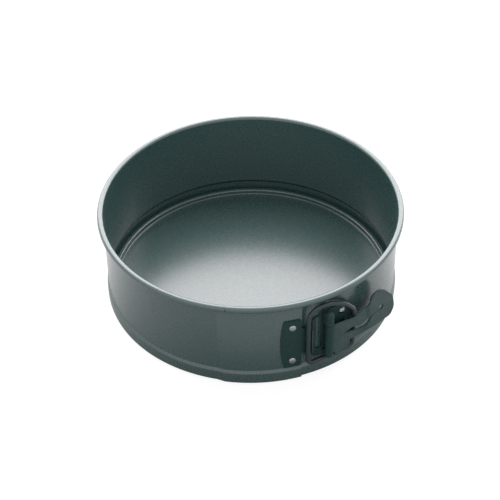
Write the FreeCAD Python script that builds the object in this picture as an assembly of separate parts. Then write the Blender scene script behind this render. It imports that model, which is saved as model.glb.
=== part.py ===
import FreeCAD, Part
import math
import os
from FreeCAD import Vector

# A springform cake pan, in millimetres, standing on z = 0 with its axis on Z.
# Bearings are degrees round the axis: 0 faces -Y, and they grow towards +X.

# Band
panRadius = 90.0          # inside of the wall: a nominal 18 cm pan
panHeight = 62.3          # to the top of the rolled rim
sheet = 0.6               # thickness of band and base
rimRollRadius = 2.0       # outside of the curled rim
rimWall = 0.6             # thickness of the curl
grooveDepth = 1.0         # how far the foot of the wall steps out
grooveTop = 10.0          # where the wall starts to step out
grooveBend = 8.2          # where the step ends
footBend = 2.2            # bend between the groove and the lip, on the mid line
lipInner = 88.0           # the lip that carries the base
bendRadius = 1.6          # gentle bends of the step, on the mid line

# Band ends: the outer end laps over the inner end, next to the clasp
innerEnd = -9.0           # bearing where the inner end stops
shoulderEnd = -9.5        # bearing where the full section of the outer end stops
joggleStart = -13.0       # the wall starts to step outward
joggleEnd = -10.0         # and lies over the inner end from here
tongueEnd = 18.2          # bearing where the outer end stops
tongueLift = 0.75         # outward step: one sheet and a sliding gap
tongueTop = 57.5          # the tongue slips under the rim of the inner end
tongueFoot = 0.3
flexBearing = 198.0       # the line where the band flexes as it springs open
flexRadius = 94.3         # at the outside of the rim

# Base
baseRadius = 89.8
baseStepRadius = 86.9     # mid line of the step between floor and raised edge
baseEdgeHeight = 3.2      # mid line of the raised edge
baseSkirtFoot = 0.75

# Clasp, catch side
plateSheet = 1.0
catchFoot = 11.2          # the riveted part, bottom and top
catchTop = 48.4
catchRight = 17.8         # its right edge
catchBow = 2.05           # how far its left edge bows out
catchBar = 19.9           # bearing of the bail's left bar when shut
catchLow = 21.5
catchHigh = 40.5
catchPlay = 0.8           # free play between the bar and the upturned end
catchRise = 0.3           # how far the upturned end stands past the bar's centre
catchMid = 14.6           # bearing of the catch rivets
catchRivetHeights = {"lower": 16.5, "upper": 42.8}

# Clasp, hinge side
hingeBearing = 27.8
hingeRadius = 95.7        # distance of the hinge axis from the pan's axis
knuckleRadius = 2.6
boreRadius = 1.25
pinRadius = 1.2
pinHeadRadius = 1.9
pinHead = 0.8
knuckleLow = (16.0, 19.2)
knuckleHigh = (41.3, 49.5)
bracketMid = 31.2
bracketRivet = 34.7
bracketRivetHeights = {"lower": 17.4, "upper": 43.2}
bracketOutline = [(22.3, 15.8), (30.5, 11.6), (37.0, 13.0), (40.4, 19.5),
                  (40.4, 41.0), (37.0, 47.4), (30.5, 49.5), (22.3, 45.2)]    # bearing and height
windowSides = (-6.6, -2.9)  # the window, from the hinge line
windowHeights = (20.5, 46.0)
knuckleWeb = 1.0

# Lever
leverSheet = 1.2
leverHeading = 36.65      # the lever's flat runs square to this bearing
leverReach = 27.7         # hinge axis to the bend
tabHeading = 44.0         # the thumb tab turns a little towards the wall
tabHole = (11.2, 33.0)    # its hole: distance past the bend, and height
tabHoleRadius = 1.9
leverBarrel = (19.4, 41.1)
leverFoot = 22.0          # edges of the arm at the bend
leverTop = 41.3
slotLine = [(9.2, 30.6), (9.4, 29.9), (14.5, 28.4), (20.0, 27.2), (leverReach, 26.9), (leverReach, 31.5),
            (25.2, 30.6), (22.0, 29.6), (19.0, 30.6), (16.0, 32.0)]
slitLine = [(-0.4, 27.0), (1.8, 29.5), (2.8, 31.3), (tabHole[0], 31.3), (tabHole[0], 31.7), (-0.4, 31.7)]

# Bail
wireRadius = 1.45
bailRadius = 94.8         # of its left bar from the pan's axis
toggleArm = 18.5          # hinge axis to the bail's pivot on the lever
bailDrop = 0.25           # pivot below the hinge line, so the clasp locks past centre
bailLow = 13.3
bailHigh = 55.8
bailArch = [(14.0, 55.2), (25.0, 50.0)]    # corners of its falling top, from the left bar
bailSide = 42.5           # where its right bar starts
bailShoulder = 7.5        # bend at the left end of its top
bailFoot = 4.0            # bends at its bottom
strapBore = 1.53
strapRadius = 2.35
strapHeights = (32.3, 37.0)

# Rivets
shankRadius = 1.5
headRadius = 2.3
headRise = 0.95


def polar(radius, bearing, z=0.0):
    a = math.radians(bearing)
    return Vector(radius * math.sin(a), -radius * math.cos(a), z)


def along(bearing):
    """Unit vector round the pan at a bearing."""
    a = math.radians(bearing)
    return Vector(math.cos(a), math.sin(a), 0)


def outward(bearing):
    return polar(1.0, bearing)


def offsetCorners(points, side):
    """Corners of the line that runs parallel to a polyline, to its left."""
    result = []
    for i, point in enumerate(points):
        normals = []
        if i > 0:
            d = (point - points[i - 1]).normalize()
            normals.append(Vector(-d.y, d.x, 0))
        if i < len(points) - 1:
            d = (points[i + 1] - point).normalize()
            normals.append(Vector(-d.y, d.x, 0))
        if len(normals) == 1:
            result.append(point + normals[0] * side)
        else:
            mitre = (normals[0] + normals[1]).normalize()
            result.append(point + mitre * (side / mitre.dot(normals[0])))
    return result


def roundedEdges(points, radii):
    """Edges of a polyline whose inner corners are rounded by the given radii."""
    edges = []
    start = points[0]
    for i in range(1, len(points) - 1):
        before = (points[i - 1] - points[i]).normalize()
        after = (points[i + 1] - points[i]).normalize()
        half = before.getAngle(after) / 2
        reach = radii[i - 1] / math.tan(half)
        inMiddle = (before + after).normalize()
        centre = points[i] + inMiddle * (radii[i - 1] / math.sin(half))
        first = points[i] + before * reach
        last = points[i] + after * reach
        middle = centre - inMiddle * radii[i - 1]
        edges.append(Part.makeLine(start, first))
        edges.append(Part.Arc(first, middle, last).toShape())
        start = last
    edges.append(Part.makeLine(start, points[-1]))
    return edges


def sheetFace(corners, bends, thickness):
    """Face of a bent strip: corners and bend radii are those of its mid line."""
    points = [Vector(x, y, 0) for x, y in corners]
    sides = []
    for side in (thickness / 2, -thickness / 2):
        radii = []
        for i in range(1, len(points) - 1):
            a = points[i] - points[i - 1]
            b = points[i + 1] - points[i]
            turnsLeft = a.x * b.y - a.y * b.x > 0
            radii.append(bends[i - 1] - side if turnsLeft else bends[i - 1] + side)
        sides.append((offsetCorners(points, side), radii))
    (left, leftRadii), (right, rightRadii) = sides
    edges = roundedEdges(left, leftRadii)
    edges.append(Part.makeLine(left[-1], right[-1]))
    edges += roundedEdges(right, rightRadii)
    edges.append(Part.makeLine(right[0], left[0]))
    return Part.Face(Part.Wire(Part.__sortEdges__(edges)))


def turned(face, start, end):
    """Revolve a section drawn as (radius, height) from one bearing to another."""
    upright = face.copy()
    upright.rotate(Vector(0, 0, 0), Vector(1, 0, 0), 90)
    upright.rotate(Vector(0, 0, 0), Vector(0, 0, 1), start - 90)
    return upright.revolve(Vector(0, 0, 0), Vector(0, 0, 1), end - start)


def fullSection(start, end):
    wall = turned(wallFace(), start, end)
    return wall.fuse(turned(rimFace(), start, end)).removeSplitter()


def slab(low, high):
    return Part.makeBox(400, 400, high - low, Vector(-200, -200, low))


def shell(inner, outer, low, high):
    outside = Part.makeCylinder(outer, high - low, Vector(0, 0, low))
    return outside.cut(Part.makeCylinder(inner, high - low, Vector(0, 0, low)))


def radialPrism(outline, bearing, reach):
    """Prism that runs outward at a bearing; its outline is in (sideways, height)."""
    corners = [along(bearing) * s + Vector(0, 0, z) + outward(bearing) * 60 for s, z in outline]
    face = Part.Face(Part.makePolygon(corners + [corners[0]]))
    return face.extrude(outward(bearing) * reach)


def box(origin, heading, u, v, z):
    """Block between pairs of limits along a heading, outward from it, and up."""
    corners = [origin + along(heading) * a + outward(heading) * b for a, b in
               ((u[0], v[0]), (u[1], v[0]), (u[1], v[1]), (u[0], v[1]))]
    corners = [Vector(c.x, c.y, z[0]) for c in corners]
    face = Part.Face(Part.makePolygon(corners + [corners[0]]))
    return face.extrude(Vector(0, 0, z[1] - z[0]))


def post(centre, radius, z):
    return Part.makeCylinder(radius, z[1] - z[0], Vector(centre.x, centre.y, z[0]))


def outwardPost(bearing, z, radius, inner, outer):
    return Part.makeCylinder(radius, outer - inner, polar(inner, bearing, z), outward(bearing))


wallMid = panRadius + sheet / 2
rollCentre = Vector(panRadius + rimRollRadius, panHeight - rimRollRadius, 0)


def rimFace():
    ring = Part.Face(Part.Wire(Part.makeCircle(rimRollRadius, rollCentre)))
    return ring.cut(Part.Face(Part.Wire(Part.makeCircle(rimRollRadius - rimWall, rollCentre))))


def wallFace():
    """Section of the band below its rim: lip, groove and wall."""
    corners = [(lipInner, sheet / 2),
               (wallMid + grooveDepth, sheet / 2),
               (wallMid + grooveDepth, grooveBend),
               (wallMid, grooveTop),
               (wallMid, rollCentre.y)]
    return sheetFace(corners, [footBend, bendRadius, bendRadius], sheet)


def tongueFace(lift, top):
    """Section of the outer end where it laps over the inner end."""
    groove = wallMid + grooveDepth + lift
    corners = [(groove, tongueFoot), (groove, grooveBend), (wallMid + lift, grooveTop), (wallMid + lift, top)]
    return sheetFace(corners, [bendRadius, bendRadius], sheet)


def standing(face, bearing):
    wire = face.OuterWire.copy()
    wire.rotate(Vector(0, 0, 0), Vector(1, 0, 0), 90)
    wire.rotate(Vector(0, 0, 0), Vector(0, 0, 1), bearing - 90)
    return wire


def rivetHoles(bearing, heights):
    holes = [outwardPost(bearing, z, shankRadius, 80, 100) for z in heights.values()]
    return holes[0].fuse(holes[1:])


def innerBand():
    band = fullSection(innerEnd, flexBearing)
    return band.cut(rivetHoles(bracketRivet, bracketRivetHeights))


def outerBand():
    full = fullSection(flexBearing - 360, joggleStart)
    shoulder = fullSection(joggleStart, shoulderEnd)
    foot = shoulder.common(slab(-1, footBend + sheet))
    rim = shoulder.common(slab(panHeight - 2 * rimRollRadius, panHeight + 1))
    intoRim = panHeight - 2 * rimRollRadius + 0.7
    joggle = Part.makeLoft([standing(tongueFace(0, intoRim), joggleStart),
                            standing(tongueFace(tongueLift, intoRim), joggleEnd)], True, True)
    tongue = turned(tongueFace(tongueLift, tongueTop), joggleEnd, tongueEnd)
    band = full.fuse([foot, rim, joggle, tongue])
    return band.cut(rivetHoles(catchMid, catchRivetHeights))


def base():
    """A shallow tray: flat floor, a step up, and an edge that turns down again."""
    corners = [(0, sheet / 2),
               (baseStepRadius, sheet / 2),
               (baseStepRadius, baseEdgeHeight),
               (baseRadius - sheet / 2, baseEdgeHeight),
               (baseRadius - sheet / 2, baseSkirtFoot)]
    return turned(sheetFace(corners, [0.9, 0.7, 0.9], sheet), 0, 360)


tongueOutside = panRadius + tongueLift + sheet
bandOutside = panRadius + sheet


def catchPlate():
    """Plate with a bowed left edge, and a narrower end turned out to hold the bail."""
    low, high = catchFoot, catchTop
    middle = (low + high) / 2
    halfWidth = tongueOutside * math.sin(math.radians((catchRight - catchMid)))
    outline = [(halfWidth, low), (halfWidth, high), (-halfWidth, high)]
    for i in range(1, 12):
        z = high + (low - high) * i / 12
        outline.append((-halfWidth - catchBow * (1 - ((z - middle) / (high - middle)) ** 2), z))
    outline.append((-halfWidth, low))
    plate = radialPrism(outline, catchMid, 60)
    endBearing = catchBar + math.degrees((wireRadius + catchPlay + plateSheet) / bailRadius)
    reach = tongueOutside * math.radians(endBearing - catchMid)
    arm = radialPrism([(0, catchLow), (reach, catchLow), (reach, catchHigh), (0, catchHigh)], catchMid, 60)
    flat = plate.fuse(arm).common(shell(tongueOutside, tongueOutside + plateSheet, low - 1, high + 1))
    lipTop = bailRadius + catchRise
    lip = box(Vector(0, 0, 0), endBearing, (-plateSheet, 0), (tongueOutside + 0.25, lipTop), (catchLow, catchHigh))
    solid = flat.fuse(lip).removeSplitter()
    return solid.cut(rivetHoles(catchMid, catchRivetHeights))


hinge = polar(hingeRadius, hingeBearing)


def hingeBracket():
    """Plate riveted to the inner end, with two rolled knuckles and the window they came from."""
    outline = [(bandOutside * math.sin(math.radians(bearing - bracketMid)), z) for bearing, z in bracketOutline]
    plate = radialPrism(outline, bracketMid, 60)
    plate = plate.common(shell(bandOutside, bandOutside + plateSheet, 5, 55))
    window = box(Vector(0, 0, 0), hingeBearing, windowSides, (80, 100), windowHeights)
    plate = plate.cut(window)
    for heights in (knuckleLow, knuckleHigh):
        web = box(hinge, hingeBearing, (-knuckleRadius, -knuckleRadius + knuckleWeb),
                  (bandOutside + 0.4 - hingeRadius, 0), heights)
        plate = plate.fuse([web, post(hinge, knuckleRadius, heights)])
    plate = plate.cut(post(hinge, boreRadius, (10, 55)))
    plate = plate.removeSplitter()
    return plate.cut(rivetHoles(bracketRivet, bracketRivetHeights))


def hingePin():
    shank = post(hinge, pinRadius, (knuckleLow[0], knuckleHigh[1]))
    foot = post(hinge, pinHeadRadius, (knuckleLow[0] - pinHead, knuckleLow[0]))
    head = post(hinge, pinHeadRadius, (knuckleHigh[1], knuckleHigh[1] + pinHead))
    footRim = [e for e in foot.Edges if e.BoundBox.ZMax < knuckleLow[0] - pinHead / 2]
    headRim = [e for e in head.Edges if e.BoundBox.ZMin > knuckleHigh[1] + pinHead / 2]
    foot = foot.makeFillet(pinHead * 0.7, footRim)
    head = head.makeFillet(pinHead * 0.7, headRim)
    return shank.fuse([foot, head]).removeSplitter()


bailPivot = hinge + along(leverHeading) * toggleArm - outward(leverHeading) * bailDrop
plateFace = knuckleRadius - leverSheet      # inner face of the lever, outward from the hinge axis
bend = hinge + along(leverHeading) * leverReach + outward(leverHeading) * (plateFace + leverSheet / 2)


def flatPlate(origin, heading, outline, inner):
    """Sheet of the lever's thickness with an outline in (along, height)."""
    corners = [origin + along(heading) * u + outward(heading) * inner + Vector(0, 0, z) for u, z in outline]
    face = Part.Face(Part.makePolygon(corners + [corners[0]]))
    return face.extrude(outward(heading) * leverSheet)


def thumbTab(origin):
    """Upright oval that grows out of the arm, with a notch where it meets the arm's upper edge."""
    corners = [(0, leverFoot), (6.0, 21.1), (20.6, 20.6), (23.4, 26.0), (21.5, 36.0), (10.5, 48.7),
               (2.0, 48.0), (1.2, 42.2), (0, leverTop)]
    bends = [4.0, 3.5, 6.0, 13.0, 8.5, 4.0, 0.6]
    points = [origin + along(tabHeading) * u + Vector(0, 0, z) for u, z in corners]
    edges = roundedEdges(points, bends)
    edges.append(Part.makeLine(points[-1], points[0]))
    face = Part.Face(Part.Wire(Part.__sortEdges__(edges)))
    return face.extrude(outward(tabHeading) * leverSheet)


def lever():
    """Hinged barrel, a cut-away body, an arm, and a round thumb tab with a hole."""
    barrel = post(hinge, knuckleRadius, leverBarrel)
    body = [(2.9, 15.5), (4.0, 15.1), (7.7, 16.4), (12.6, 18.2), (14.2, 19.4), (13.9, 21.0), (12.7, 22.0),
            (13.6, 22.9), (16.5, 22.5), (leverReach, leverFoot), (leverReach, leverTop), (24.9, 41.0), (19.0, 38.4),
            (16.7, 37.7), (9.8, 39.4), (2.9, 40.7)]
    plate = flatPlate(hinge, leverHeading, body, plateFace)
    root = flatPlate(hinge, leverHeading, [(0, leverBarrel[0]), (3.1, leverBarrel[0]),
                                           (3.1, 40.6), (0, leverBarrel[1])], plateFace)
    bendFill = post(bend, leverSheet / 2, (leverFoot, leverTop))
    tabOrigin = bend - outward(tabHeading) * (leverSheet / 2)
    tab = thumbTab(tabOrigin)
    holeCentre = tabOrigin + along(tabHeading) * tabHole[0] + Vector(0, 0, tabHole[1])
    hole = Part.makeCylinder(tabHoleRadius, 10, holeCentre - outward(tabHeading) * 5, outward(tabHeading))
    strap = post(bailPivot, strapRadius, strapHeights)
    solid = barrel.fuse([plate, root, bendFill, tab, strap])
    solid = solid.cut(flatPlate(hinge, leverHeading, slotLine, plateFace))
    solid = solid.cut(flatPlate(tabOrigin, tabHeading, slitLine, 0))
    solid = solid.cut(hole)
    solid = solid.cut(post(hinge, boreRadius, (0, 70)))
    solid = solid.cut(post(bailPivot, strapBore, (0, 70)))
    return solid.removeSplitter()


def bail():
    """One closed loop of wire: square at the foot, and an arch that falls away to the right."""
    left = polar(bailRadius, catchBar)
    right = Vector(bailPivot.x, bailPivot.y, 0)
    run = right - left
    length = run.Length
    heading = run.normalize()
    middle = (bailLow + bailHigh) / 2
    corners = [(0, middle), (0, bailHigh)] + bailArch
    corners += [(length, bailSide), (length, bailLow), (0, bailLow), (0, middle)]
    radii = [bailShoulder, 16.0, 16.0, 6.0, bailFoot, bailFoot]
    points = [left + heading * u + Vector(0, 0, z) for u, z in corners]
    path = Part.Wire(Part.__sortEdges__(roundedEdges(points, radii)))
    section = Part.Wire(Part.makeCircle(wireRadius, points[0], Vector(0, 0, 1)))
    return path.makePipeShell([section], True, False)


def rivet(bearing, z, inside, outside):
    """Shank flush with the inside of the band, and a domed head on the plate."""
    shank = outwardPost(bearing, z, shankRadius, inside - 1, outside + 0.2)
    shank = shank.cut(Part.makeCylinder(inside, 100))
    sphereRadius = (headRadius ** 2 + headRise ** 2) / (2 * headRise)
    dome = Part.makeSphere(sphereRadius, polar(outside + headRise - sphereRadius, bearing, z))
    dome = dome.common(outwardPost(bearing, z, headRadius + 0.5, outside - 0.2, outside + 5))
    dome = dome.cut(Part.makeCylinder(outside, 100))
    return shank.fuse(dome).removeSplitter()


def allNodes():
    nodes = {"band_inner_end": innerBand(),
             "band_outer_end": outerBand(),
             "base_tray": base(),
             "catch_plate": catchPlate(),
             "hinge_bracket": hingeBracket(),
             "hinge_pin": hingePin(),
             "lever": lever(),
             "bail": bail()}
    for name, z in catchRivetHeights.items():
        nodes["catch_rivet_" + name] = rivet(catchMid, z, panRadius + tongueLift, tongueOutside + plateSheet)
    for name, z in bracketRivetHeights.items():
        nodes["bracket_rivet_" + name] = rivet(bracketRivet, z, panRadius, bandOutside + plateSheet)
    return nodes


os.makedirs("parts", exist_ok=True)
for name, shape in allNodes().items():
    solids = shape.Solids
    print(name, "solids", len(solids), "valid", shape.isValid(), "volume", round(shape.Volume, 1))
    solid = solids[0] if len(solids) == 1 else shape
    solid.exportStep("parts/" + name + ".step")
print("hinge", [round(v, 3) for v in hinge], "bail pivot", [round(v, 3) for v in bailPivot])
print("flex", [round(v, 3) for v in polar(flexRadius, flexBearing)])
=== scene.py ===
import math
import bmesh
import bpy
from mathutils.geometry import delaunay_2d_cdt
from mathutils import Matrix, Vector


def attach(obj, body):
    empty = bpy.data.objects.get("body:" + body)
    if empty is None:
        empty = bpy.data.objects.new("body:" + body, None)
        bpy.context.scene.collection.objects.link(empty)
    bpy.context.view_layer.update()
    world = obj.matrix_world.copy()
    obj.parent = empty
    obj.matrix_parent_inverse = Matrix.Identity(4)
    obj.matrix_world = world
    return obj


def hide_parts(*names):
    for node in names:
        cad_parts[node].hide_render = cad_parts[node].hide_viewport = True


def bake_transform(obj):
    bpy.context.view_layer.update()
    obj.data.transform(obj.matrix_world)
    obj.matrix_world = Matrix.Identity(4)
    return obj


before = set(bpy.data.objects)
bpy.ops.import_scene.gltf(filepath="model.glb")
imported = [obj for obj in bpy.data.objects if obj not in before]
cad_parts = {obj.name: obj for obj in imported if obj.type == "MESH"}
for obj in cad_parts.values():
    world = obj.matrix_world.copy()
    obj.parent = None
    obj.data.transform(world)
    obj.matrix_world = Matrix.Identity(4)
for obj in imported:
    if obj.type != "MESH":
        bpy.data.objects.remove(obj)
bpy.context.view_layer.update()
mm = 0.001

# Bearings are degrees round the pan's axis: 0 is the front, and they grow to the right.
# Sizes in the dictionaries are millimetres; meshes are built in millimetres and scaled once.
pan = {"radius": 90.0, "sheet": 0.6, "height": 62.3, "rimRadius": 2.0, "rimWall": 0.6, "rimCurl": 324.8,
       "grooveStep": 1.0, "grooveBend": 8.2, "grooveTop": 10.0, "lipInner": 88.0,
       "footBend": 2.2, "grooveCurve": 1.2, "bead": 0.14, "beadRise": 0.3, "beadFade": 2.4, "beadCurve": 4.0}
overlap = {"innerEnd": -9.0, "shoulderEnd": -9.5, "joggleStart": -13.0, "joggleEnd": -10.0,
           "tongueEnd": 18.2, "lift": 0.75, "tongueTop": 57.5, "tenonRadius": 1.22}
# the band bends about this line; its back, between two bearings, is made as a piece of its own and rides on
# no body
flex = {"bearing": 198.0, "radius": 94.3, "reach": 40.0, "from": 138, "to": 258}
wallMiddle = pan["radius"] + pan["sheet"] / 2
bandOutside = pan["radius"] + pan["sheet"]
tongueOutside = bandOutside + overlap["lift"]


def polar(radius, bearing, z=0.0):
    a = math.radians(bearing)
    return Vector((radius * math.sin(a), -radius * math.cos(a), z))


def along(bearing):
    a = math.radians(bearing)
    return Vector((math.cos(a), math.sin(a), 0))


def outward(bearing):
    return polar(1.0, bearing)


# Outlines

def filletLine(points, radii, step=12):
    # corners become arcs, with a point about every `step` degrees
    result = [points[0]]
    for i in range(1, len(points) - 1):
        result += filletCorner(points[i - 1], points[i], points[i + 1], radii[i - 1], step)
    return result + [points[-1]]


def filletLoop(points, radii, step=12):
    result = []
    count = len(points)
    for i in range(count):
        result += filletCorner(points[i - 1], points[i], points[(i + 1) % count], radii[i], step)
    return result


def roundedLoop(corners, step):
    # corners are (along, height, rounding)
    return filletLoop([Vector((x, z)) for x, z, r in corners], [r for x, z, r in corners], step)


def filletCorner(before, corner, after, radius, step):
    u = (before - corner).normalized()
    v = (after - corner).normalized()
    half = u.angle(v) / 2
    if radius <= 0 or half > math.radians(89.5):
        return [corner]
    reach = radius / math.tan(half)
    centre = corner + (u + v).normalized() * (radius / math.sin(half))
    first = corner + u * reach - centre
    last = corner + v * reach - centre
    sweep = first.angle(last)
    count = max(2, math.ceil(math.degrees(sweep) / step))
    arc = []
    for k in range(count + 1):
        a = k / count * sweep
        arc.append(centre + (first * math.sin(sweep - a) + last * math.sin(a)) / math.sin(sweep))
    return arc


def sheetSection(midLine, thickness, nose=4):
    # closed outline of a strip drawn round its mid line, with rounded ends
    left, right = [], []
    count = len(midLine)
    for i, p in enumerate(midLine):
        a = midLine[max(i - 1, 0)]
        b = midLine[min(i + 1, count - 1)]
        if 0 < i < count - 1:
            d = ((p - a).normalized() + (b - p).normalized()).normalized()
        else:
            d = (b - a).normalized()
        n = Vector((-d.y, d.x))
        left.append(p + n * thickness / 2)
        right.append(p - n * thickness / 2)
    endDirection = (midLine[-1] - midLine[-2]).normalized()
    startDirection = (midLine[0] - midLine[1]).normalized()
    tip = [midLine[-1] + arcAround(endDirection, thickness / 2, k / nose) for k in range(1, nose)]
    tail = [midLine[0] + arcAround(startDirection, thickness / 2, k / nose) for k in range(1, nose)]
    return left + tip + right[::-1] + tail


def arcAround(direction, radius, t):
    n = Vector((-direction.y, direction.x))
    return n * radius * math.cos(t * math.pi) + direction * radius * math.sin(t * math.pi)


def onCircle(centre, radius, angle):
    return centre + Vector((radius * math.cos(angle), radius * math.sin(angle)))


def circleLoop(centre, radius, count=32):
    return [onCircle(centre, radius, 2 * math.pi * k / count) for k in range(count)]


def vectors(points):
    return [Vector(p) for p in points]


def rectangle(left, right, low, high):
    return vectors([(left, low), (right, low), (right, high), (left, high)])


def lathed(outline, steps):
    # turns a line of (radius, height) about Z
    bm = bmesh.new()
    verts = [bm.verts.new((x, 0, z)) for x, z in outline]
    edges = [bm.edges.new(pair) for pair in zip(verts, verts[1:])]
    bmesh.ops.spin(bm, geom=verts + edges, cent=(0, 0, 0), axis=(0, 0, 1), angle=2 * math.pi, steps=steps)
    return bm


# Meshes

def linked(name, data):
    thing = bpy.data.objects.new(name, data)
    bpy.context.scene.collection.objects.link(thing)
    return thing


def toMesh(name, bm, sharp=38):
    # merges, turns outward and shades a working mesh in millimetres, then scales it to metres
    bmesh.ops.remove_doubles(bm, verts=bm.verts, dist=0.004)
    bmesh.ops.dissolve_degenerate(bm, edges=bm.edges, dist=0.002)
    bmesh.ops.recalc_face_normals(bm, faces=bm.faces)
    if bm.calc_volume(signed=True) < 0:
        bmesh.ops.reverse_faces(bm, faces=bm.faces)
    for face in bm.faces:
        face.smooth = True
    for edge in bm.edges:
        if len(edge.link_faces) == 2:
            edge.smooth = edge.calc_face_angle(0) < math.radians(sharp)
    bmesh.ops.scale(bm, vec=(mm, mm, mm), verts=bm.verts)
    mesh = bpy.data.meshes.new(name)
    bm.to_mesh(mesh)
    bm.free()
    return linked(name, mesh)


def finishFromNodes(name, carrier, material, sharp=38):
    # evaluates a Geometry Nodes object into a plain closed mesh
    graph = bpy.context.evaluated_depsgraph_get()
    mesh = bpy.data.meshes.new_from_object(carrier.evaluated_get(graph))
    bm = bmesh.new()
    bm.from_mesh(mesh)
    bpy.data.meshes.remove(mesh)
    bpy.data.objects.remove(carrier)
    piece = toMesh(name, bm, sharp)
    piece.data.materials.append(material)
    return piece


def joined(name, pieces):
    # one object from several closed meshes, each with its own shading
    bm = bmesh.new()
    material = pieces[0].data.materials[0]
    for piece in pieces:
        bm.from_mesh(piece.data)
        mesh = piece.data
        bpy.data.objects.remove(piece)
        bpy.data.meshes.remove(mesh)
    mesh = bpy.data.meshes.new(name)
    bm.to_mesh(mesh)
    bm.free()
    mesh.materials.append(material)
    return linked(name, mesh)


def curveObject(name, points):
    data = bpy.data.curves.new(name, "CURVE")
    data.dimensions = "3D"
    spline = data.splines.new("POLY")
    spline.points.add(len(points) - 1)
    for target, p in zip(spline.points, points):
        target.co = (p[0], p[1], p[2] if len(p) > 2 else 0, 1)
    spline.use_cyclic_u = True
    return linked(name, data)


# Geometry Nodes

def newTree(name, inputs):
    tree = bpy.data.node_groups.new(name, "GeometryNodeTree")
    sockets = {}
    tree.interface.new_socket("Geometry", in_out="INPUT", socket_type="NodeSocketGeometry")
    for label, kind, value in inputs:
        socket = tree.interface.new_socket(label, in_out="INPUT", socket_type="NodeSocket" + kind)
        if value is not None:
            socket.default_value = value
        sockets[label] = socket.identifier
    tree.interface.new_socket("Geometry", in_out="OUTPUT", socket_type="NodeSocketGeometry")
    source = tree.nodes.new("NodeGroupInput")
    target = tree.nodes.new("NodeGroupOutput")
    return tree, sockets, source, target


def closeTree(tree, source, target, geometry):
    realize = tree.nodes.new("GeometryNodeRealizeInstances")
    paint = tree.nodes.new("GeometryNodeSetMaterial")
    tree.links.new(geometry, realize.inputs[0])
    tree.links.new(realize.outputs[0], paint.inputs["Geometry"])
    tree.links.new(source.outputs["Material"], paint.inputs["Material"])
    tree.links.new(paint.outputs[0], target.inputs[0])


def mathNode(tree, operation, a, b=None):
    node = tree.nodes.new("ShaderNodeMath")
    node.operation = operation
    for socket, value in zip(node.inputs, (a, b)):
        if value is None:
            continue
        if isinstance(value, (int, float)):
            socket.default_value = value
        else:
            tree.links.new(value, socket)
    return node.outputs[0]


def buildSweepTree():
    # sweeps a section, drawn as (radius, height), round the pan between two bearings
    tree, sockets, source, target = newTree("turnedSheet", [
        ("Start", "Float", 0.0), ("End", "Float", 360.0), ("Steps", "Int", 120),
        ("Lift", "Float", 0.0), ("Lift from", "Float", 0.0), ("Lift to", "Float", 1.0),
        ("Material", "Material", None)])
    nodes, links = tree.nodes, tree.links
    ends = []
    for label in ("Start", "End"):
        corner = nodes.new("ShaderNodeCombineXYZ")
        links.new(source.outputs[label], corner.inputs[0])
        ends.append(corner.outputs[0])
    line = nodes.new("GeometryNodeCurvePrimitiveLine")
    links.new(ends[0], line.inputs["Start"])
    links.new(ends[1], line.inputs["End"])
    fine = nodes.new("GeometryNodeResampleCurve")
    fine.mode = "COUNT"
    links.new(line.outputs[0], fine.inputs["Curve"])
    links.new(source.outputs["Steps"], fine.inputs["Count"])
    sweep = nodes.new("GeometryNodeCurveToMesh")
    sweep.inputs["Fill Caps"].default_value = True
    links.new(fine.outputs[0], sweep.inputs["Curve"])
    links.new(source.outputs["Geometry"], sweep.inputs["Profile Curve"])
    position = nodes.new("GeometryNodeInputPosition")
    split = nodes.new("ShaderNodeSeparateXYZ")
    links.new(position.outputs[0], split.inputs[0])
    ramp = nodes.new("ShaderNodeMapRange")
    ramp.interpolation_type = "SMOOTHSTEP"
    links.new(split.outputs[0], ramp.inputs["Value"])
    links.new(source.outputs["Lift from"], ramp.inputs["From Min"])
    links.new(source.outputs["Lift to"], ramp.inputs["From Max"])
    lift = mathNode(tree, "MULTIPLY", ramp.outputs[0], source.outputs["Lift"])
    radius = mathNode(tree, "ADD", mathNode(tree, "ABSOLUTE", split.outputs[1]), lift)
    height = mathNode(tree, "ABSOLUTE", split.outputs[2])
    angle = mathNode(tree, "RADIANS", split.outputs[0])
    place = nodes.new("ShaderNodeCombineXYZ")
    links.new(mathNode(tree, "MULTIPLY", radius, mathNode(tree, "SINE", angle)), place.inputs[0])
    links.new(mathNode(tree, "MULTIPLY", mathNode(tree, "MULTIPLY", radius, -1.0),
                       mathNode(tree, "COSINE", angle)), place.inputs[1])
    links.new(height, place.inputs[2])
    move = nodes.new("GeometryNodeSetPosition")
    links.new(sweep.outputs[0], move.inputs["Geometry"])
    links.new(place.outputs[0], move.inputs["Position"])
    closeTree(tree, source, target, move.outputs[0])
    return tree, sockets


def buildWireTree():
    # a round wire along a closed path
    tree, sockets, source, target = newTree("bentWire", [
        ("Wire radius", "Float", 1.0), ("Sides", "Int", 20), ("Material", "Material", None)])
    nodes, links = tree.nodes, tree.links
    ring = nodes.new("GeometryNodeCurvePrimitiveCircle")
    links.new(source.outputs["Wire radius"], ring.inputs["Radius"])
    links.new(source.outputs["Sides"], ring.inputs["Resolution"])
    sweep = nodes.new("GeometryNodeCurveToMesh")
    links.new(source.outputs["Geometry"], sweep.inputs["Curve"])
    links.new(ring.outputs[0], sweep.inputs["Profile Curve"])
    closeTree(tree, source, target, sweep.outputs[0])
    return tree, sockets


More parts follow.
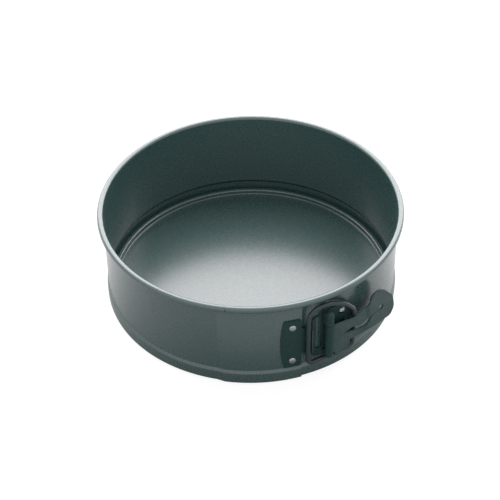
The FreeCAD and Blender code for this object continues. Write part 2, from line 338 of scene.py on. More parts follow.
def buildRivetTree():
    # the same rivet at each point, with its head outward from the pan's axis
    tree, sockets, source, target = newTree("rivetRow", [
        ("Rivet", "Object", None), ("Material", "Material", None)])
    nodes, links = tree.nodes, tree.links
    info = nodes.new("GeometryNodeObjectInfo")
    links.new(source.outputs["Rivet"], info.inputs["Object"])
    position = nodes.new("GeometryNodeInputPosition")
    flat = nodes.new("ShaderNodeVectorMath")
    flat.operation = "MULTIPLY"
    flat.inputs[1].default_value = (1, 1, 0)
    links.new(position.outputs[0], flat.inputs[0])
    turn = nodes.new("FunctionNodeAlignRotationToVector")
    turn.axis = "Z"
    links.new(flat.outputs[0], turn.inputs["Vector"])
    place = nodes.new("GeometryNodeInstanceOnPoints")
    links.new(source.outputs["Geometry"], place.inputs["Points"])
    links.new(info.outputs["Geometry"], place.inputs["Instance"])
    links.new(turn.outputs[0], place.inputs["Rotation"])
    closeTree(tree, source, target, place.outputs[0])
    return tree, sockets


def runTree(carrier, builtTree, values):
    tree, sockets = builtTree
    modifier = carrier.modifiers.new("build", "NODES")
    modifier.node_group = tree
    for label, value in values.items():
        modifier[sockets[label]] = value


# Materials

def shaderGroup(name, inputs, outputs):
    tree = bpy.data.node_groups.new(name, "ShaderNodeTree")
    for label, kind, value in inputs:
        socket = tree.interface.new_socket(label, in_out="INPUT", socket_type="NodeSocket" + kind)
        socket.default_value = value
    for label, kind in outputs:
        tree.interface.new_socket(label, in_out="OUTPUT", socket_type="NodeSocket" + kind)
    return tree, tree.nodes.new("NodeGroupInput"), tree.nodes.new("NodeGroupOutput")


def buildPeelGroup():
    # the pebbled skin of a baked coating: a height, a fine fleck and a cloudy tone
    tree, source, target = shaderGroup("bakedPeel", [
        ("Peel scale", "Float", 900.0), ("Fleck scale", "Float", 2200.0), ("Cloud scale", "Float", 14.0)],
        [("Height", "Float"), ("Fleck", "Float"), ("Cloud", "Float")])
    nodes, links = tree.nodes, tree.links
    coords = nodes.new("ShaderNodeTexCoord")
    for label, detail, output in (("Peel scale", 2.0, "Height"), ("Fleck scale", 1.0, "Fleck"),
                                  ("Cloud scale", 0.0, "Cloud")):
        noise = nodes.new("ShaderNodeTexNoise")
        noise.inputs["Detail"].default_value = detail
        noise.inputs["Roughness"].default_value = 0.5
        links.new(coords.outputs["Object"], noise.inputs["Vector"])
        links.new(source.outputs[label], noise.inputs["Scale"])
        links.new(noise.outputs["Fac"], target.inputs[output])
    return tree


def buildWearGroup():
    # how far an edge is rubbed, broken up so it isn't a clean line
    tree, source, target = shaderGroup("rubbedEdge", [
        ("From", "Float", 0.52), ("To", "Float", 0.62), ("Break scale", "Float", 700.0)],
        [("Wear", "Float")])
    nodes, links = tree.nodes, tree.links
    geometry = nodes.new("ShaderNodeNewGeometry")
    coords = nodes.new("ShaderNodeTexCoord")
    noise = nodes.new("ShaderNodeTexNoise")
    noise.inputs["Detail"].default_value = 3.0
    links.new(coords.outputs["Object"], noise.inputs["Vector"])
    links.new(source.outputs["Break scale"], noise.inputs["Scale"])
    ramp = nodes.new("ShaderNodeMapRange")
    links.new(geometry.outputs["Pointiness"], ramp.inputs["Value"])
    links.new(source.outputs["From"], ramp.inputs["From Min"])
    links.new(source.outputs["To"], ramp.inputs["From Max"])
    patches = mathNode(tree, "MULTIPLY", ramp.outputs[0], noise.outputs["Fac"])
    links.new(patches, target.inputs["Wear"])
    return tree


def mixColour(tree, factor, a, b):
    mix = tree.nodes.new("ShaderNodeMix")
    mix.data_type = "RGBA"
    for socket, value in ((mix.inputs[0], factor), (mix.inputs[6], a), (mix.inputs[7], b)):
        if isinstance(value, (int, float, tuple)):
            socket.default_value = value
        else:
            tree.links.new(value, socket)
    return mix.outputs[2]


def mapValue(tree, value, low, high, fromLow=0.0, fromHigh=1.0):
    node = tree.nodes.new("ShaderNodeMapRange")
    node.interpolation_type = "SMOOTHSTEP"
    node.inputs["From Min"].default_value = fromLow
    node.inputs["From Max"].default_value = fromHigh
    node.inputs["To Min"].default_value = low
    node.inputs["To Max"].default_value = high
    tree.links.new(value, node.inputs["Value"])
    return node.outputs[0]


def buildCoating(name, look):
    # dark baked coating: cloudy and finely flecked, with a pebbled skin and rubbed edges
    material = bpy.data.materials.new(name)
    material.use_nodes = True
    tree = material.node_tree
    nodes, links = tree.nodes, tree.links
    shader = nodes["Principled BSDF"]
    peel = nodes.new("ShaderNodeGroup")
    peel.node_tree = peelGroup
    peel.inputs["Peel scale"].default_value = look["peelScale"]
    peel.inputs["Fleck scale"].default_value = look["fleckScale"]
    wear = nodes.new("ShaderNodeGroup")
    wear.node_tree = wearGroup
    wear.inputs["From"].default_value = look["wearFrom"]
    wear.inputs["To"].default_value = look["wearTo"]
    fleck = mapValue(tree, peel.outputs["Fleck"], 0, 1, 0.52, 0.72)
    base = mixColour(tree, peel.outputs["Cloud"], look["dark"], look["light"])
    flecked = mixColour(tree, mathNode(tree, "MULTIPLY", fleck, look["fleck"]), base, look["fleckColour"])
    rubbed = mathNode(tree, "MULTIPLY", wear.outputs[0], look["wear"])
    worn = mixColour(tree, rubbed, flecked, look["wearColour"])
    links.new(worn, shader.inputs["Base Color"])
    rough = mapValue(tree, peel.outputs["Fleck"], look["rough"] - 0.03, look["rough"] + 0.05, 0.3, 0.7)
    links.new(rough, shader.inputs["Roughness"])
    shader.inputs["IOR"].default_value = look["ior"]
    shader.inputs["Specular IOR Level"].default_value = look["specular"]
    addBump(tree, peel, shader, look)
    return material


def addBump(tree, peel, shader, look):
    bump = tree.nodes.new("ShaderNodeBump")
    bump.inputs["Strength"].default_value = look["bump"]
    bump.inputs["Distance"].default_value = look["bumpDepth"] * mm
    tree.links.new(peel.outputs["Height"], bump.inputs["Height"])
    tree.links.new(bump.outputs[0], shader.inputs["Normal"])


def buildSteel(name, look):
    material = bpy.data.materials.new(name)
    material.use_nodes = True
    tree = material.node_tree
    nodes, links = tree.nodes, tree.links
    shader = nodes["Principled BSDF"]
    peel = nodes.new("ShaderNodeGroup")
    peel.node_tree = peelGroup
    peel.inputs["Peel scale"].default_value = look["grainScale"]
    grain = mapValue(tree, peel.outputs["Height"], 0, 1, 0.3, 0.7)
    tone = mixColour(tree, grain, look["dark"], look["light"])
    links.new(tone, shader.inputs["Base Color"])
    links.new(mapValue(tree, peel.outputs["Fleck"], look["rough"] - 0.05, look["rough"] + 0.07, 0.3, 0.7),
              shader.inputs["Roughness"])
    shader.inputs["Metallic"].default_value = 1.0
    addBump(tree, peel, shader, look)
    return material


peelGroup = buildPeelGroup()
wearGroup = buildWearGroup()
nonstickCoat = buildCoating("nonstickCoat", {
    "dark": (0.026, 0.062, 0.060, 1), "light": (0.034, 0.074, 0.072, 1), "fleckColour": (0.16, 0.20, 0.20, 1),
    "fleck": 0.12, "wearColour": (0.20, 0.22, 0.22, 1), "wear": 0.25, "wearFrom": 0.53, "wearTo": 0.66,
    "rough": 0.25, "ior": 1.85, "specular": 0.5, "peelScale": 1100.0, "fleckScale": 2600.0,
    "bump": 0.14, "bumpDepth": 0.05})
claspCoat = buildCoating("claspCoat", {
    "dark": (0.016, 0.042, 0.038, 1), "light": (0.021, 0.049, 0.045, 1), "fleckColour": (0.10, 0.13, 0.13, 1),
    "fleck": 0.20, "wearColour": (0.20, 0.24, 0.24, 1), "wear": 0.40, "wearFrom": 0.53, "wearTo": 0.64,
    "rough": 0.28, "ior": 1.45, "specular": 0.07, "peelScale": 1300.0, "fleckScale": 2600.0,
    "bump": 0.18, "bumpDepth": 0.05})
wireCoat = buildCoating("wireCoat", {
    "dark": (0.010, 0.026, 0.023, 1), "light": (0.014, 0.032, 0.029, 1), "fleckColour": (0.10, 0.13, 0.13, 1),
    "fleck": 0.15, "wearColour": (0.20, 0.24, 0.24, 1), "wear": 0.30, "wearFrom": 0.53, "wearTo": 0.64,
    "rough": 0.16, "ior": 1.5, "specular": 0.5, "peelScale": 1300.0, "fleckScale": 2600.0,
    "bump": 0.10, "bumpDepth": 0.05})
rivetSteel = buildSteel("rivetSteel", {
    "dark": (0.30, 0.34, 0.34, 1), "light": (0.42, 0.46, 0.46, 1), "rough": 0.18, "grainScale": 1500.0,
    "bump": 0.25, "bumpDepth": 0.02})
sweepTree = buildSweepTree()
wireTree = buildWireTree()
rivetTree = buildRivetTree()
print("materials and trees ready")


# Band

wallFoot = wallMiddle + pan["grooveStep"]
rimCentre = Vector((pan["radius"] + pan["rimRadius"], pan["height"] - pan["rimRadius"]))
grooveCorners = [(wallFoot, pan["grooveBend"]),
                 (wallMiddle - pan["bead"], pan["grooveTop"] + pan["beadRise"]),
                 (wallMiddle, pan["grooveTop"] + pan["beadFade"])]
grooveRadii = [pan["grooveCurve"], pan["grooveCurve"], pan["beadCurve"]]


def wallLine():
    # mid line from the lip, up the groove and the wall, and round the rolled rim
    half = pan["sheet"] / 2
    corners = [(pan["lipInner"] + half, half), (wallFoot, half)] + grooveCorners
    corners.append((wallMiddle, rimCentre.y - 0.4))
    line = filletLine(vectors(corners), [pan["footBend"]] + grooveRadii, 6)
    rollRadius = pan["rimRadius"] - pan["rimWall"] / 2
    points = 28
    for k in range(points + 1):
        line.append(onCircle(rimCentre, rollRadius, math.radians(180 - pan["rimCurl"] * k / points)))
    return line


def tongueLine():
    # before its lift; once lifted, its foot curls round the outside of the inner end's foot
    half = pan["sheet"] / 2
    curl = pan["footBend"] + overlap["lift"]
    centre = Vector((wallFoot - curl, half + pan["footBend"]))
    line = [onCircle(centre, curl, math.radians(5 * k - 45)) for k in range(9)]
    corners = [(wallFoot, centre.y)] + grooveCorners + [(wallMiddle, overlap["tongueTop"] - half)]
    return line + filletLine(vectors(corners), grooveRadii, 6)


def turnedPiece(name, outline, start, end, material, step=0.6, lift=(0.0, 0.0, 1.0)):
    carrier = curveObject(name + "Section", outline)
    steps = max(2, round((end - start) / step) + 1)
    runTree(carrier, sweepTree, {"Start": float(start), "End": float(end), "Steps": steps,
                                 "Lift": lift[0], "Lift from": lift[1], "Lift to": lift[2],
                                 "Material": material})
    return finishFromNodes(name, carrier, material)


fullLine = wallLine()
wallOutline = sheetSection(fullLine, pan["sheet"])
bandInner = turnedPiece("bandInnerEnd", wallOutline, overlap["innerEnd"], flex["from"], nonstickCoat)
rimTenon = circleLoop(rimCentre, overlap["tenonRadius"], 24)  # the inner end's rim slips inside the outer one
tenon = turnedPiece("rimTenon", rimTenon, overlap["joggleStart"], overlap["innerEnd"] + 0.3, nonstickCoat)
bandInner = joined("bandInnerEnd", [bandInner, tenon])
bandBack = turnedPiece("bandBack", wallOutline, flex["from"], flex["to"], nonstickCoat)
bandOuter = turnedPiece("bandOuterEnd", wallOutline, flex["to"] - 360, overlap["joggleStart"], nonstickCoat)
print("band made")

# The outer end: its foot and rim stop short, and its wall steps out over the inner end
rimFoot = rimCentre.y - pan["rimRadius"]
underRimLine = vectors([(wallMiddle, overlap["tongueTop"] - 0.6), (wallMiddle, rimCentre.y - 0.2)])
outerPieces = [bandOuter]
for name, line, end in (("lipStub", [p for p in fullLine if p.y < 1.2], overlap["shoulderEnd"]),
                        ("rimStub", [p for p in fullLine if p.y > rimFoot - 0.7], overlap["shoulderEnd"]),
                        ("underRim", underRimLine, overlap["innerEnd"])):
    section = sheetSection(line, pan["sheet"])
    outerPieces.append(turnedPiece(name, section, overlap["joggleStart"], end, nonstickCoat))
joggle = (overlap["lift"], overlap["joggleStart"], overlap["joggleEnd"])
outerPieces.append(turnedPiece("tongue", sheetSection(tongueLine(), pan["sheet"]), overlap["joggleStart"],
                               overlap["tongueEnd"], nonstickCoat, 0.3, joggle))
bandOuter = joined("bandOuterEnd", outerPieces)


# Base: a shallow pressed tray
tray = {"radius": 89.8, "stepRadius": 86.9, "edgeHeight": 3.2, "skirtFoot": 0.75, "bends": [0.9, 0.7, 0.9],
        "rings": (40, 75, 84.5)}


def trayOutline():
    half = pan["sheet"] / 2
    edge = tray["radius"] - half
    corners = vectors([(0.0, half), (tray["stepRadius"], half), (tray["stepRadius"], tray["edgeHeight"]),
                       (edge, tray["edgeHeight"]), (edge, tray["skirtFoot"] + half)])
    line = filletLine(corners, tray["bends"], 12)
    line[1:1] = [Vector((radius, half)) for radius in tray["rings"]]
    outline = sheetSection(line, pan["sheet"])
    # the section starts square on the axis, without its rounded end
    return [p for p in outline if p.x > -0.001 and not (p.x < 0.5 and 0.001 < p.y < pan["sheet"] - 0.001)]


baseTray = turnedPiece("baseTray", trayOutline(), 0, 360, nonstickCoat, 1.0)
print("base made")


# Bent sheets: a flat outline in (along, height), cut into strips and laid along a bent path

class BentPath:
    # runs are (length, turn in degrees) from a start point and heading; the outside is on the right
    def __init__(self, start, heading, runs):
        self.start, self.heading, self.runs = Vector(start), heading, runs

    def at(self, s):
        point, heading = self.start.copy(), self.heading
        for i, (length, turn) in enumerate(self.runs):
            part = s if i == len(self.runs) - 1 else min(max(s, 0.0 if i else s), length)
            if turn:
                radius = length / math.radians(turn)
                swung = heading + turn * part / length
                point = point + outward(swung) * radius - outward(heading) * radius
                heading = swung
            else:
                point = point + along(heading) * part
            s -= part
            if s <= 1e-9 and i < len(self.runs) - 1:
                break
        return point, heading

    def cuts(self, step):
        # where the sheet needs strips to follow its bends
        places, s = [], 0.0
        for length, turn in self.runs:
            if turn:
                count = max(1, math.ceil(abs(turn) / step))
                places += [s + length * k / count for k in range(count + 1)]
            s += length
        return places


def isInside(point, loop):
    inside = False
    for a, b in zip(loop, loop[1:] + loop[:1]):
        if (a[1] > point[1]) != (b[1] > point[1]):
            if point[0] < a[0] + (b[0] - a[0]) * (point[1] - a[1]) / (b[1] - a[1]):
                inside = not inside
    return inside


def bentSheet(name, outline, holes, thickness, path, material, edge, step):
    # fills the outline, thickens it, breaks its edges, cuts it into strips and bends it
    bm = bmesh.new()
    points = []
    edges = []
    for loop in [outline] + holes:
        first = len(points)
        points += [Vector((p[0], p[1])) for p in loop]
        edges += [(first + i, first + (i + 1) % len(loop)) for i in range(len(loop))]
    filled = delaunay_2d_cdt(points, edges, [], 0, 1e-4)
    verts = [bm.verts.new((p.x, p.y, 0)) for p in filled[0]]
    for corners in filled[2]:
        centre = sum((filled[0][i] for i in corners), Vector((0, 0))) / 3
        if isInside(centre, outline) and not any(isInside(centre, hole) for hole in holes):
            bm.faces.new([verts[i] for i in corners])
    extruded = bmesh.ops.extrude_face_region(bm, geom=list(bm.faces))["geom"]
    top = [v for v in extruded if isinstance(v, bmesh.types.BMVert)]
    bmesh.ops.translate(bm, vec=(0, 0, thickness), verts=top)
    bmesh.ops.translate(bm, vec=(0, 0, -thickness / 2), verts=bm.verts)
    bmesh.ops.recalc_face_normals(bm, faces=bm.faces)
    rims = []
    for e in bm.edges:
        isLevel = abs(e.verts[0].co.z - e.verts[1].co.z) < 1e-5
        if isLevel and len(e.link_faces) == 2 and e.calc_face_angle(0) > 1.4:
            rims.append(e)
    bmesh.ops.bevel(bm, geom=rims, offset=edge, offset_type="OFFSET", segments=2, profile=0.5,
                    affect="EDGES", clamp_overlap=True)
    for s in path.cuts(step):
        bmesh.ops.bisect_plane(bm, geom=bm.verts[:] + bm.edges[:] + bm.faces[:], dist=1e-5,
                               plane_co=(s, 0, 0), plane_no=(1, 0, 0))
    for vert in bm.verts:
        s, height, depth = vert.co
        point, heading = path.at(s)
        vert.co = point + outward(heading) * depth + Vector((0, 0, height))
    piece = toMesh(name, bm, 20)
    piece.data.materials.append(material)
    return piece


def bentStrip(name, ends, thickness, start, heading, runs, edge):
    # a plain strip between two heights
    length = sum(run[0] for run in runs)
    return bentSheet(name, rectangle(0, length, *ends), [], thickness, BentPath(start, heading, runs),
                     claspCoat, edge, 12)


def keyhole(line, centre, radius, count=28):
    # closes a slot's outline round the hole that both its ends run into
    start = math.atan2(line[-1].y - centre.y, line[-1].x - centre.x)
    end = math.atan2(line[0].y - centre.y, line[0].x - centre.x) + 2 * math.pi
    arc = [start + (end - start) * k / count for k in range(1, count)]
    return line + [onCircle(centre, radius, a) for a in arc]


# Rivets

rivetSize = {"head": 2.3, "rim": 0.08, "rise": 0.95, "shank": 1.5}


def rivetShape(name, innerFace, outerFace):
    # lathed about Z with the head's seat at z = 0; its inner end is set over a little
    foot = innerFace - outerFace
    head, rim, shank = rivetSize["head"], rivetSize["rim"], rivetSize["shank"]
    outline = [(0, foot - 0.18), (0.7, foot - 0.16), (shank - 0.25, foot - 0.05), (shank, foot + 0.15),
               (shank, 0), (head - 0.05, 0), (head, rim)]
    for k in range(1, 9):
        a = math.radians(90 * k / 8)
        outline.append((head * math.cos(a), rim + (rivetSize["rise"] - rim) * math.sin(a)))
    outline[-1] = (0, outline[-1][1])
    piece = toMesh(name, lathed(outline, 36), 45)
    for vert in piece.data.vertices:
        vert.co /= mm  # back to millimetres, as the row is scaled once it is made
    return piece


def rivetRow(name, bearing, heights, innerFace, outerFace):
    shape = rivetShape(name + "Shape", innerFace, outerFace)
    points = bpy.data.meshes.new(name + "Points")
    points.from_pydata([polar(outerFace, bearing, z) for z in heights], [], [])
    carrier = linked(name + "Points", points)
    runTree(carrier, rivetTree, {"Rivet": shape, "Material": rivetSteel})
    row = finishFromNodes(name, carrier, rivetSteel, 45)
    bpy.data.objects.remove(shape)
    return row


# Catch: a plate with a bowed edge, and a narrower end turned out to hold the bail
catch = {"sheet": 1.0, "mid": 14.6, "right": 17.8, "left": 11.4, "low": 11.2, "high": 48.4, "bow": 2.05,
         "armLow": 21.5, "armHigh": 40.5, "rivets": (16.5, 42.8), "turn": 1.3, "top": 95.1,
         "rounding": 0.5, "shoulder": 1.6, "armRoot": 0.9, "armTip": 1.2}
bailSize = {"wire": 1.45, "left": 19.9, "radius": 94.8, "play": 0.8, "low": 13.3, "high": 55.8, "foot": 4.0,
            "shoulder": 7.5, "arch": 16.0, "archTop": (14.0, 55.2), "archBack": (25.0, 50.0),
            "sideTop": 42.5, "sideBend": 6.0}


def buildCatch():
    mid = tongueOutside + catch["sheet"] / 2
    clear = bailSize["wire"] + bailSize["play"] + catch["sheet"]
    endBearing = bailSize["left"] + math.degrees(clear / bailSize["radius"])
    turnStart = endBearing - math.degrees((catch["sheet"] / 2 + catch["turn"]) / mid)
    start = catch["left"] - 2.0
    flatLength = mid * math.radians(turnStart - start)
    turnLength = catch["turn"] * math.pi / 2
    rise = catch["top"] - mid - catch["turn"]
    path = BentPath(polar(mid, start), start, [(flatLength, turnStart - start), (turnLength, -90), (rise, 0)])
    left, right = (mid * math.radians(bearing - start) for bearing in (catch["left"], catch["right"]))
    root = right + 0.3
    end = flatLength + turnLength + rise
    low, high = catch["low"], catch["high"]
    armLow, armHigh = catch["armLow"], catch["armHigh"]
    outline = roundedLoop([(left, low, catch["rounding"]), (right, low, catch["shoulder"]),
                           (root, armLow, catch["armRoot"]), (end, armLow, catch["armTip"]),
                           (end, armHigh, catch["armTip"]), (root, armHigh, catch["armRoot"]),
                           (right, high, catch["shoulder"]), (left, high, catch["rounding"])], 18)
    middle = (low + high) / 2
    for k in range(1, 16):
        z = high + (low - high) * k / 16
        bow = catch["bow"] * (1 - ((z - middle) / (high - middle)) ** 2)
        outline.append(Vector((left - bow, z)))
    return bentSheet("catchPlate", outline, [], catch["sheet"], path, claspCoat, 0.2, 1.5)


catchPlate = buildCatch()
catchRivets = rivetRow("catchRivets", catch["mid"], catch["rivets"], pan["radius"] + overlap["lift"],
                       tongueOutside + catch["sheet"])

# Hinge bracket: a curved plate with a window, and two knuckles rolled from its own sheet
# its corners are (bearing, height, rounding)
bracket = {"sheet": 1.0, "rivet": 34.7, "rivets": (17.4, 43.2), "hinge": 27.8, "hingeRadius": 95.7,
           "start": 22.3, "sweep": 18.3, "window": (-6.6, -2.9, 20.5, 46.0), "windowRounding": 0.7,
           "knuckle": 2.6, "low": (16.0, 19.2), "high": (41.3, 49.5), "bend": 1.3, "rolled": 292,
           "corners": [(22.3, 15.8, 1.6), (30.5, 11.6, 14), (37.0, 13.0, 7), (40.4, 19.5, 6),
                       (40.4, 41.0, 6), (37.0, 47.4, 7), (30.5, 49.5, 14), (22.3, 45.2, 1.6)]}
hinge = polar(bracket["hingeRadius"], bracket["hinge"])


def buildBracket():
    mid = bandOutside + bracket["sheet"] / 2
    start, bearing, bend = bracket["start"], bracket["hinge"], bracket["bend"]
    outline = roundedLoop([(mid * math.radians(b - start), z, r) for b, z, r in bracket["corners"]], 9)
    hingePlace = mid * math.radians(bearing - start)
    left, right, low, high = bracket["window"]
    window = filletLoop(rectangle(hingePlace + left, hingePlace + right, low, high),
                        [bracket["windowRounding"]] * 4, 30)
    path = BentPath(polar(mid, start), start, [(mid * math.radians(bracket["sweep"]), bracket["sweep"])])
    pieces = [bentSheet("bracketPlate", outline, [window], bracket["sheet"], path, claspCoat, 0.2, 1.2)]
    rollRadius = bracket["knuckle"] - bracket["sheet"] / 2
    root = polar(mid, bearing) - along(bearing) * (rollRadius - bend)
    climb = bracket["hingeRadius"] - mid - bend
    runs = [(bend * math.pi / 2, 90), (climb, 0),
            (rollRadius * math.radians(bracket["rolled"]), bracket["rolled"])]
    for name, ends in (("knuckleLow", bracket["low"]), ("knuckleHigh", bracket["high"])):
        pieces.append(bentStrip(name, ends, bracket["sheet"], root, bearing + 180, runs, 0.16))
    return joined("hingeBracket", pieces)


hingeBracket = buildBracket()
bracketRivets = rivetRow("bracketRivets", bracket["rivet"], bracket["rivets"], pan["radius"],
                         bandOutside + bracket["sheet"])

# Hinge pin, with a domed head at each end; the dome is in shares of the head's radius and height
pin = {"radius": 1.2, "head": 1.9, "headHeight": 0.8,
       "dome": [(0.0, 1.0), (0.55, 0.93), (0.86, 0.66), (1.0, 0.25), (1.0, 0.0)]}


def buildPin():
    low, high = bracket["low"][0], bracket["high"][1]
    head, rise = pin["head"], pin["headHeight"]
    outline = [(head * r, low - rise * z) for r, z in pin["dome"]]
    outline += [(pin["radius"], low), (pin["radius"], high)]
    outline += [(head * r, high + rise * z) for r, z in reversed(pin["dome"])]
    bm = lathed(outline, 32)
    bmesh.ops.translate(bm, vec=hinge, verts=bm.verts)
    piece = toMesh("hingePin", bm, 40)
    piece.data.materials.append(claspCoat)
    return piece


hingePin = buildPin()

# Lever: barrel, flat body with a cut-away, and an upright oval thumb tab, from one strip of sheet,
# with a narrow strap behind the body that holds the bail
lever = {"sheet": 1.2, "heading": 36.65, "reach": 27.7, "tabHeading": 44.0, "tabReach": 11.2, "bend": 5.0,
         "barrel": (19.4, 41.1), "rolled": 305, "neck": (22.0, 41.3), "spare": 30,
         "hole": 1.9, "holeHeight": 33.0, "slit": (31.3, 31.7),
         "strap": (32.3, 37.0), "strapSheet": 0.8, "strapGap": 0.12, "toggle": 18.5, "drop": 0.25}
bailPivot = hinge + along(lever["heading"]) * lever["toggle"] - outward(lever["heading"]) * lever["drop"]


def leverOutline(body, tabRoot):
    # from the barrel along the foot, round the tab and back along the top
    barrelLow, barrelHigh = lever["barrel"]
    neckLow, neckHigh = lever["neck"]
    foot = [(2.7, barrelLow, 0.3), (2.9, 15.5, 0.4), (4.0, 15.1, 2.4), (7.7, 16.4, 3), (12.6, 18.2, 0.5),
            (14.2, 19.4, 0.5), (13.9, 21.0, 0.3), (12.7, 22.0, 0.3), (13.6, 22.9, 1.2), (16.5, 22.5, 4)]
    tab = [(0, neckLow, 3), (6.0, 21.1, 4), (20.6, 20.6, 3.5), (23.4, 26.0, 6), (21.5, 36.0, 13),
           (10.5, 48.7, 8.5), (2.0, 48.0, 4), (1.2, 42.2, 0.6), (0, neckHigh, 1.5)]
    top = [(24.9, 41.0, 3), (19.0, 38.4, 3), (16.7, 37.7, 3), (9.8, 39.4, 4), (2.9, 40.7, 3)]
    corners = [(0, barrelLow, 0.2)]
    for start, part in ((body, foot), (tabRoot, tab), (body, top)):
        corners += [(start + x, z, r) for x, z, r in part]
    return roundedLoop(corners + [(0, barrelHigh, 0.2)], 15)


def leverSlot(body, hole):
    # a curved opening in the body, joined by a slit to the round hole in the tab
    slitLow, slitHigh = lever["slit"]
    lowEnd, highEnd = (hole.x - body - math.sqrt(lever["hole"] ** 2 - (hole.y - z) ** 2)
                       for z in (slitLow, slitHigh))
    slot = [(highEnd, slitHigh), (29.3, slitHigh), (27.5, 31.5), (25.2, 30.6), (22.0, 29.6), (19.0, 30.6),
            (16.0, 32.0), (9.2, 30.6), (9.4, 29.9), (14.5, 28.4), (20.0, 27.0), (26.6, 26.5),
            (29.5, 29.2), (30.6, slitLow), (lowEnd, slitLow)]
    slotRadii = [1, 1, 3, 3, 2, 1.2, 0.3, 0.3, 4, 4, 3, 1.5, 1]
    slotLine = filletLine([Vector((body + x, z)) for x, z in slot], slotRadii, 20)
    return keyhole(slotLine, hole, lever["hole"])


def buildLever():
    heading = lever["heading"]
    rollRadius = bracket["knuckle"] - lever["sheet"] / 2
    rollLength = rollRadius * math.radians(lever["rolled"])
    turn = lever["tabHeading"] - heading
    bendLength = lever["bend"] * math.radians(turn)
    startHeading = heading - lever["rolled"]
    runs = [(rollLength, lever["rolled"]), (lever["reach"] - bendLength / 2, 0), (bendLength, turn),
            (lever["spare"], 0)]
    path = BentPath(hinge + outward(startHeading) * rollRadius, startHeading, runs)
    tabRoot = rollLength + lever["reach"]
    hole = Vector((tabRoot + lever["tabReach"], lever["holeHeight"]))
    plate = bentSheet("leverPlate", leverOutline(rollLength, tabRoot), [leverSlot(rollLength, hole)],
                      lever["sheet"], path, claspCoat, 0.14, 8)
    strapRadius = bailSize["wire"] + lever["strapGap"] + lever["strapSheet"] / 2
    leg = lever["drop"] + bracket["knuckle"] - lever["sheet"] + 0.3
    strapStart = bailPivot - along(heading) * strapRadius + outward(heading) * leg
    strapRuns = [(leg, 0), (strapRadius * math.pi, 180), (leg, 0)]
    strap = bentStrip("bailStrap", lever["strap"], lever["strapSheet"], strapStart, heading + 90,
                      strapRuns, 0.14)
    return joined("lever", [plate, strap])


leverPiece = buildLever()


# Bail: one closed loop of wire
def buildBail():
    left = polar(bailSize["radius"], bailSize["left"])
    run = Vector((bailPivot.x, bailPivot.y, 0)) - left
    length = run.length
    run.normalize()
    low, high, foot = bailSize["low"], bailSize["high"], bailSize["foot"]
    flat = roundedLoop([(0, low, foot), (length, low, foot),
                        (length, bailSize["sideTop"], bailSize["sideBend"]),
                        (*bailSize["archBack"], bailSize["arch"]), (*bailSize["archTop"], bailSize["arch"]),
                        (0, high, bailSize["shoulder"])], 6)
    path = [left + run * p.x + Vector((0, 0, p.y)) for p in flat]
    carrier = curveObject("bailPath", path)
    runTree(carrier, wireTree, {"Wire radius": bailSize["wire"], "Sides": 24, "Material": wireCoat})
    return finishFromNodes("bail", carrier, wireCoat, 60)


bail = buildBail()
print("clasp made")

# What each piece rides on and stands for
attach(bandInner, "inner_end")
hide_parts("band_inner_end")
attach(bandOuter, "outer_end")
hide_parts("band_outer_end")
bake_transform(bandBack)
for piece, body, nodes in ((baseTray, "base", ["base_tray"]),
                           (catchPlate, "outer_end", ["catch_plate"]),
                           (catchRivets, "outer_end", ["catch_rivet_lower", "catch_rivet_upper"]),
                           (hingeBracket, "inner_end", ["hinge_bracket"]),
                           (bracketRivets, "inner_end", ["bracket_rivet_lower", "bracket_rivet_upper"]),
                           (hingePin, "inner_end", ["hinge_pin"]),
                           (leverPiece, "lever", ["lever"]),
                           (bail, "bail", ["bail"])):
    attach(piece, body)
    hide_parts(*nodes)

# Camera, in metres and degrees
view = {"distance": 0.835, "elevation": 40.69, "target": (0, 0, 0.035), "lens": 96.05, "roll": -0.84,
        "shiftX": -0.0017, "shiftY": -0.025}
cameraData = bpy.data.cameras.new("camera")
camera = linked("camera", cameraData)
bpy.context.scene.camera = camera
tilt = math.radians(view["elevation"])
target = Vector(view["target"])
camera.location = target + Vector((0, -math.cos(tilt), math.sin(tilt))) * view["distance"]
aim = (target - camera.location).to_track_quat("-Z", "Y").to_matrix().to_4x4()
camera.rotation_euler = (aim @ Matrix.Rotation(math.radians(view["roll"]), 4, "Z")).to_euler()
cameraData.lens = view["lens"]
cameraData.shift_x = view["shiftX"]
cameraData.shift_y = view["shiftY"]
cameraData.clip_start = 0.05
cameraData.clip_end = 20
print("camera set")

# Light, in metres and watts
world = bpy.data.worlds.new("studio")
bpy.context.scene.world = world
world.use_nodes = True
background = world.node_tree.nodes["Background"]
background.inputs["Color"].default_value = (1, 1, 1, 1)
background.inputs["Strength"].default_value = 1.0


def softBox(name, place, aimAt, size, power, colour):
    data = bpy.data.lights.new(name, "AREA")
    data.shape = "RECTANGLE"
    data.size, data.size_y = size
    data.energy = power
    data.color = colour
    lamp = linked(name, data)
    lamp.location = place
    lamp.rotation_euler = (Vector(aimAt) - Vector(place)).to_track_quat("-Z", "Y").to_euler()


softBox("backSoftBox", (0.06, 1.08, 1.04), (0, 0, 0.03), (3.3, 1.8), 84, (1.0, 0.94, 0.955))
bpy.context.scene.view_settings.view_transform = "Standard"
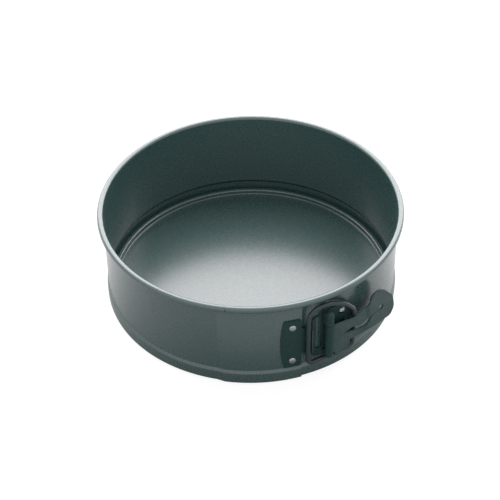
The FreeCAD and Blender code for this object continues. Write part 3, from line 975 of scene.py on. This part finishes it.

# Floor, in metres: pale card that is greyer towards the front, as painted shade standing in for the pan's
# shadow on the floor that its outer wall reflects; seen directly, a lit white sweep
card = {"half": 6, "drop": 0.0002, "shadeGreyEnd": -0.12, "paleEnd": 0.10,
        "shadeGrey": (0.34, 0.34, 0.34, 1), "pale": (0.80, 0.80, 0.80, 1), "rough": 0.9, "specular": 0.1,
        "sweep": (0.2, 0.2, 0.2, 1), "glow": 0.86}
cardCorners = rectangle(-card["half"], card["half"], -card["half"], card["half"])
floorMesh = bpy.data.meshes.new("floor")
floorMesh.from_pydata([(x, y, -card["drop"]) for x, y in cardCorners], [], [(0, 1, 2, 3)])
floor = linked("floor", floorMesh)
floorPaint = bpy.data.materials.new("paleFloor")
floorPaint.use_nodes = True
floorTree = floorPaint.node_tree
floorShader = floorTree.nodes["Principled BSDF"]
floorCoords = floorTree.nodes.new("ShaderNodeTexCoord")
floorSplit = floorTree.nodes.new("ShaderNodeSeparateXYZ")
floorTree.links.new(floorCoords.outputs["Object"], floorSplit.inputs[0])
# painted shade: the card's colour darkens towards the front in place of the pan's cast shadow
paintedShadeFade = mapValue(floorTree, floorSplit.outputs[1], 0, 1, card["shadeGreyEnd"], card["paleEnd"])
floorTone = mixColour(floorTree, paintedShadeFade, card["shadeGrey"], card["pale"])
floorTree.links.new(floorTone, floorShader.inputs["Base Color"])
floorShader.inputs["Roughness"].default_value = card["rough"]
floorShader.inputs["Specular IOR Level"].default_value = card["specular"]
sweepShader = floorTree.nodes.new("ShaderNodeBsdfPrincipled")
sweepShader.inputs["Base Color"].default_value = card["sweep"]
sweepShader.inputs["Roughness"].default_value = 1.0
sweepShader.inputs["Specular IOR Level"].default_value = 0.0
sweepShader.inputs["Emission Color"].default_value = (1, 1, 1, 1)
sweepShader.inputs["Emission Strength"].default_value = card["glow"]
floorMix = floorTree.nodes.new("ShaderNodeMixShader")
floorPath = floorTree.nodes.new("ShaderNodeLightPath")
floorTree.links.new(floorPath.outputs["Is Camera Ray"], floorMix.inputs[0])
floorTree.links.new(floorShader.outputs[0], floorMix.inputs[1])
floorTree.links.new(sweepShader.outputs[0], floorMix.inputs[2])
floorTree.links.new(floorMix.outputs[0], floorTree.nodes["Material Output"].inputs["Surface"])
floorMesh.materials.append(floorPaint)
print("stage ready")
